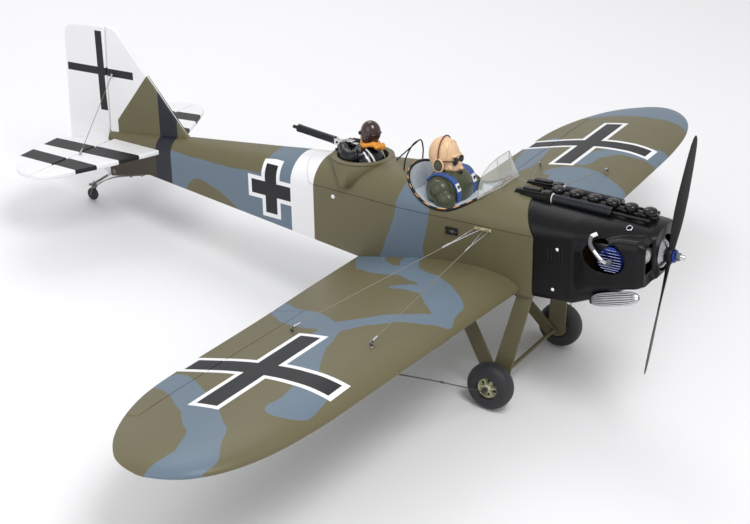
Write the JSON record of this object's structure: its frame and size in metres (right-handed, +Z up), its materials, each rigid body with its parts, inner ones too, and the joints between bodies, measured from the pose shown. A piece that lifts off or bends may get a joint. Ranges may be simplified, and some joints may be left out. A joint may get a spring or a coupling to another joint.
{
  "type": "radio-controlled model warplane",
  "caption": "Radio-controlled model of a vintage low-wing two-seat warplane with glow engine, working control surfaces, lift-off hatch, open cockpits and fixed wheels.",
  "frame": {"origin": "centre of the footprint box on the ground, with the model standing on its two main wheels and its tail wheel", "axes": "+X towards the left wing tip, -Y towards the nose, +Z up; the airframe sits nose-up by 8.514 degrees"},
  "size_m": [1.53, 1.1263, 0.4241],
  "materials": {
    "camouflage_skin": "satin",
    "white_skin": "satin",
    "black_cowl": "satin",
    "tyre": "matte",
    "cream_hub": "satin",
    "silver_casting": "satin",
    "steel": "satin",
    "brass": "satin",
    "blue_anodised": "satin",
    "plywood": "matte",
    "clear_sheet": "gloss",
    "pilot_figure": "matte",
    "gunner_figure": "gloss",
    "black_plastic": "satin",
    "rim_padding": "matte",
    "propeller": "satin",
    "tank_plastic": "satin"
  },
  "bodies": {
    "airframe": {"fuselage_shell": "camouflage_skin", "wing_right": "camouflage_skin", "wing_left": "camouflage_skin", "wing_joiner": "silver_casting", "aileron_servo_right": "black_plastic", "aileron_servo_left": "black_plastic", "fin": "white_skin", "stabiliser": "white_skin", "cowl": "black_cowl", "cylinder_covers": "black_cowl", "ribbed_outlet": "silver_casting", "firewall": "plywood", "crankcase": "silver_casting", "cylinder": "silver_casting", "cylinder_head": "blue_anodised", "plug_cap": "silver_casting", "leg_front_right": "camouflage_skin", "leg_front_left": "camouflage_skin", "leg_rear_right": "camouflage_skin", "leg_rear_left": "camouflage_skin", "axle": "steel", "tail_bracket": "steel", "top_rigging_right": "brass", "top_rigging_left": "brass", "under_rigging_right": "steel", "under_rigging_left": "steel", "tail_brace_right": "steel", "tail_brace_left": "steel", "switch_plate": "black_plastic", "fuel_tank": "tank_plastic", "battery": "blue_anodised", "servo_tray": "plywood", "rudder_servo": "black_plastic", "elevator_servo": "black_plastic"},
    "hatch": {"upper_deck": "camouflage_skin", "cockpit_rim": "rim_padding", "nose_gun_right": "black_plastic", "nose_gun_left": "black_plastic", "windshield": "clear_sheet", "roll_hoop": "black_plastic", "pilot": "pilot_figure"},
    "gun_turret": {"gun_ring": "camouflage_skin", "gunner": "gunner_figure", "rear_gun": "black_plastic"},
    "propeller_unit": {"crankshaft": "steel", "prop_washer": "blue_anodised", "propeller": "propeller"},
    "wheel_right": {"tyre_right": "tyre", "hub_right": "cream_hub"},
    "wheel_left": {"tyre_left": "tyre", "hub_left": "cream_hub"},
    "tail_steering": {"tail_fork": "steel"},
    "tail_wheel_unit": {"tail_wheel": "tyre"},
    "rudder_unit": {"rudder": "white_skin"},
    "elevator_unit": {"elevator_right": "white_skin", "elevator_left": "white_skin", "elevator_joiner": "steel"},
    "aileron_right_unit": {"aileron_right": "camouflage_skin"},
    "aileron_left_unit": {"aileron_left": "camouflage_skin"},
    "switch_unit": {"switch_slider": "black_plastic"}
  },
  "joints": [
    {"name": "hatch_lift", "type": "slide", "parent": "airframe", "child": "hatch", "axis": [0, 0.647, 0.7625], "range_m": [0, 0.1]},
    {"name": "turret_turn", "type": "hinge", "parent": "hatch", "child": "gun_turret", "pos_m": [0, -0.03609, 0.25807], "axis": [0, 0.1481, 0.989], "range_deg": [-60, 60]},
    {"name": "propeller_spin", "type": "hinge", "parent": "airframe", "child": "propeller_unit", "pos_m": [0, -0.54026, 0.27085], "axis": [0, -0.989, 0.1481], "continuous": true},
    {"name": "wheel_right_roll", "type": "hinge", "parent": "airframe", "child": "wheel_right", "pos_m": [-0.1184, -0.3579, 0.03546], "axis": [1, 0, 0], "continuous": true},
    {"name": "wheel_left_roll", "type": "hinge", "parent": "airframe", "child": "wheel_left", "pos_m": [0.1184, -0.3579, 0.03546], "axis": [1, 0, 0], "continuous": true},
    {"name": "tail_wheel_steer", "type": "hinge", "parent": "airframe", "child": "tail_steering", "pos_m": [0, 0.49088, 0.02953], "axis": [0, 0.1481, 0.989], "range_deg": [-20, 20]},
    {"name": "tail_wheel_roll", "type": "hinge", "parent": "tail_steering", "child": "tail_wheel_unit", "pos_m": [0, 0.49316, 0.01099], "axis": [1, 0, 0], "continuous": true},
    {"name": "rudder_swing", "type": "hinge", "parent": "airframe", "child": "rudder_unit", "pos_m": [0, 0.46255, 0.19353], "axis": [0, 0.1083, 0.9941], "range_deg": [-20, 20]},
    {"name": "elevator_tilt", "type": "hinge", "parent": "airframe", "child": "elevator_unit", "pos_m": [0, 0.44348, 0.13168], "axis": [1, 0, 0], "range_deg": [-20, 20]},
    {"name": "aileron_right_tilt", "type": "hinge", "parent": "airframe", "child": "aileron_right_unit", "pos_m": [-0.4775, -0.13985, 0.15258], "axis": [0.9998, -0.0026, -0.0173], "range_deg": [-20, 20]},
    {"name": "aileron_left_tilt", "type": "hinge", "parent": "airframe", "child": "aileron_left_unit", "pos_m": [0.4775, -0.13985, 0.15258], "axis": [0.9998, 0.0026, 0.0173], "range_deg": [-20, 20]},
    {"name": "switch_travel", "type": "slide", "parent": "airframe", "child": "switch_unit", "axis": [0, 0.989, -0.1481], "range_m": [0, 0.006]}
  ],
  "couplings": [
    {"joint": "tail_wheel_steer", "follows": "rudder_swing", "ratio": 1},
    {"joint": "aileron_right_tilt", "follows": "aileron_left_tilt", "ratio": -1}
  ]
}
